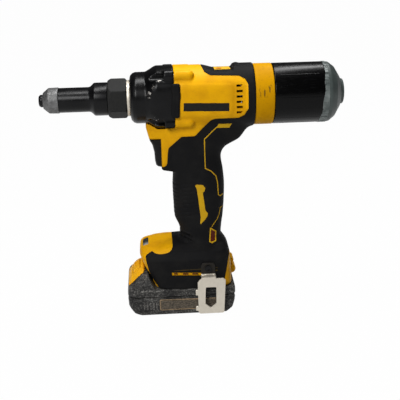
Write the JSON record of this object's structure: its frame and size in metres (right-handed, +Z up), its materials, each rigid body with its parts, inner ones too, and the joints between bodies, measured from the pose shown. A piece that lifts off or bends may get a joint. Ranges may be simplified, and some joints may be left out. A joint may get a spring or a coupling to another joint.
{
  "type": "battery rivet tool",
  "caption": "Pistol-grip battery rivet tool with a hexagon nose nut, planetary screw drive, rear mandrel canister, belt hook and slide-on pack",
  "frame": {"origin": "On the underside of the battery pack, in the plane of symmetry, about the middle of its length", "axes": "+Z up from the surface the pack stands on, +X backwards along the drive axis so that the nose points to -X, +Y to the right side of the tool"},
  "size_m": [0.3133, 0.0851, 0.2605],
  "materials": {
    "yellow_plastic": "moulded glass filled nylon, satin",
    "soft_rubber": "moulded soft rubber, matt",
    "black_plastic": "moulded nylon, satin",
    "black_alloy": "cast aluminium, black coated",
    "steel": "turned steel",
    "black_steel": "steel, black oxide",
    "worn_zinc": "zinc plated sheet, worn",
    "copper": "bare copper",
    "smoke_plastic": "moulded nylon, smoky grey",
    "clear_plastic": "clear moulded lens",
    "board": "potted circuit board and wrapped cells",
    "cell_wrap": "cells in shrink wrap",
    "magnet": "laminated iron"
  },
  "bodies": {
    "tool": {"left_housing": "yellow_plastic", "right_housing": "yellow_plastic", "left_overmold": "soft_rubber", "right_overmold": "soft_rubber", "housing_screws": "black_steel", "gear_case": "black_alloy", "gear_case_screws": "steel", "side_bumpers": "soft_rubber", "top_inlay": "yellow_plastic", "lock_ring": "worn_zinc", "hex_nut": "black_steel", "nose_housing": "black_steel", "nose_cone": "steel", "nosepiece": "black_steel", "thrust_bearing": "steel", "ring_gear": "black_steel", "motor_plate": "steel", "front_bearing": "steel", "motor_stator": "magnet", "stator_windings": "copper", "rear_bearing": "steel", "mandrel_tube": "steel", "rear_collar": "yellow_plastic", "trigger_switch": "black_plastic", "control_module": "board", "light_lens": "clear_plastic", "terminal_block": "black_plastic", "terminal_blades": "copper", "belt_hook": "worn_zinc", "belt_hook_screw": "black_steel", "trigger_spring": "steel"},
    "rotor": {"rotor_shaft": "steel", "rotor_magnets": "magnet", "motor_fan": "black_plastic"},
    "screw": {"ball_screw": "steel", "planet_carrier": "black_steel"},
    "planet_1": {"planet_gear_1": "steel"},
    "planet_2": {"planet_gear_2": "steel"},
    "planet_3": {"planet_gear_3": "steel"},
    "pull_carriage": {"jaw_case": "steel", "pull_tube": "steel", "screw_nut": "steel", "jaw_spring": "steel"},
    "pusher": {"jaw_pusher": "steel"},
    "jaw_a": {"jaw_1": "black_steel"},
    "jaw_b": {"jaw_2": "black_steel"},
    "jaw_c": {"jaw_3": "black_steel"},
    "trigger_lever": {"trigger": "black_plastic"},
    "canister_unit": {"canister": "black_plastic", "canister_seal": "soft_rubber", "end_cap": "smoke_plastic"},
    "pack": {"pack_lower_case": "black_plastic", "pack_upper_case": "black_plastic", "pack_front_cap": "yellow_plastic", "pack_cells": "cell_wrap", "cell_straps": "steel", "pack_screws": "black_steel", "button_spring": "steel"},
    "button": {"release_button": "black_plastic"}
  },
  "joints": [
    {"name": "rotor_spin", "type": "hinge", "parent": "tool", "child": "rotor", "pos_m": [0, 0, 0.228], "axis": [1, 0, 0], "range_deg": [0, 10130]},
    {"name": "screw_spin", "type": "hinge", "parent": "tool", "child": "screw", "pos_m": [0, 0, 0.228], "axis": [1, 0, 0], "range_deg": [0, 2252]},
    {"name": "planet_1_spin", "type": "hinge", "parent": "screw", "child": "planet_1", "pos_m": [0.0127, 0, 0.2136], "axis": [1, 0, 0], "range_deg": [-6304, 0]},
    {"name": "planet_2_spin", "type": "hinge", "parent": "screw", "child": "planet_2", "pos_m": [0.0127, 0.01247, 0.2352], "axis": [1, 0, 0], "range_deg": [-6304, 0]},
    {"name": "planet_3_spin", "type": "hinge", "parent": "screw", "child": "planet_3", "pos_m": [0.0127, -0.01247, 0.2352], "axis": [1, 0, 0], "range_deg": [-6304, 0]},
    {"name": "pull_slide", "type": "slide", "parent": "tool", "child": "pull_carriage", "axis": [1, 0, 0], "range_m": [0, 0.025]},
    {"name": "pusher_slide", "type": "slide", "parent": "pull_carriage", "child": "pusher", "axis": [1, 0, 0], "range_m": [0, 0.002], "stiffness_N_per_m": 1500, "springref_m": -0.003, "deforming": ["jaw_spring"]},
    {"name": "jaw_1_slide", "type": "slide", "parent": "pull_carriage", "child": "jaw_a", "axis": [0.9874, 0, -0.158], "range_m": [0, 0.0021]},
    {"name": "jaw_2_slide", "type": "slide", "parent": "pull_carriage", "child": "jaw_b", "axis": [0.9874, 0.1368, 0.079], "range_m": [0, 0.0021]},
    {"name": "jaw_3_slide", "type": "slide", "parent": "pull_carriage", "child": "jaw_c", "axis": [0.9874, -0.1368, 0.079], "range_m": [0, 0.0021]},
    {"name": "trigger_press", "type": "slide", "parent": "tool", "child": "trigger_lever", "axis": [1, 0, 0], "range_m": [0, 0.006], "stiffness_N_per_m": 500, "springref_m": -0.004, "deforming": ["trigger_spring"]},
    {"name": "canister_pull", "type": "slide", "parent": "tool", "child": "canister_unit", "axis": [1, 0, 0], "range_m": [0, 0.05]},
    {"name": "pack_slide", "type": "slide", "parent": "tool", "child": "pack", "axis": [-1, 0, 0], "range_m": [0, 0.09]},
    {"name": "button_press", "type": "slide", "parent": "pack", "child": "button", "axis": [0, 0, -1], "range_m": [0, 0.003], "stiffness_N_per_m": 900, "springref_m": -0.003, "deforming": ["button_spring"]}
  ],
  "couplings": [
    {"joint": "rotor_spin", "follows": "pull_slide", "rad_per_m": 7068.6},
    {"joint": "screw_spin", "follows": "pull_slide", "rad_per_m": 1570.8},
    {"joint": "planet_1_spin", "follows": "pull_slide", "rad_per_m": -4398.2},
    {"joint": "planet_2_spin", "follows": "pull_slide", "rad_per_m": -4398.2},
    {"joint": "planet_3_spin", "follows": "pull_slide", "rad_per_m": -4398.2},
    {"joint": "jaw_1_slide", "follows": "pusher_slide", "ratio": 1.0127},
    {"joint": "jaw_2_slide", "follows": "pusher_slide", "ratio": 1.0127},
    {"joint": "jaw_3_slide", "follows": "pusher_slide", "ratio": 1.0127}
  ]
}
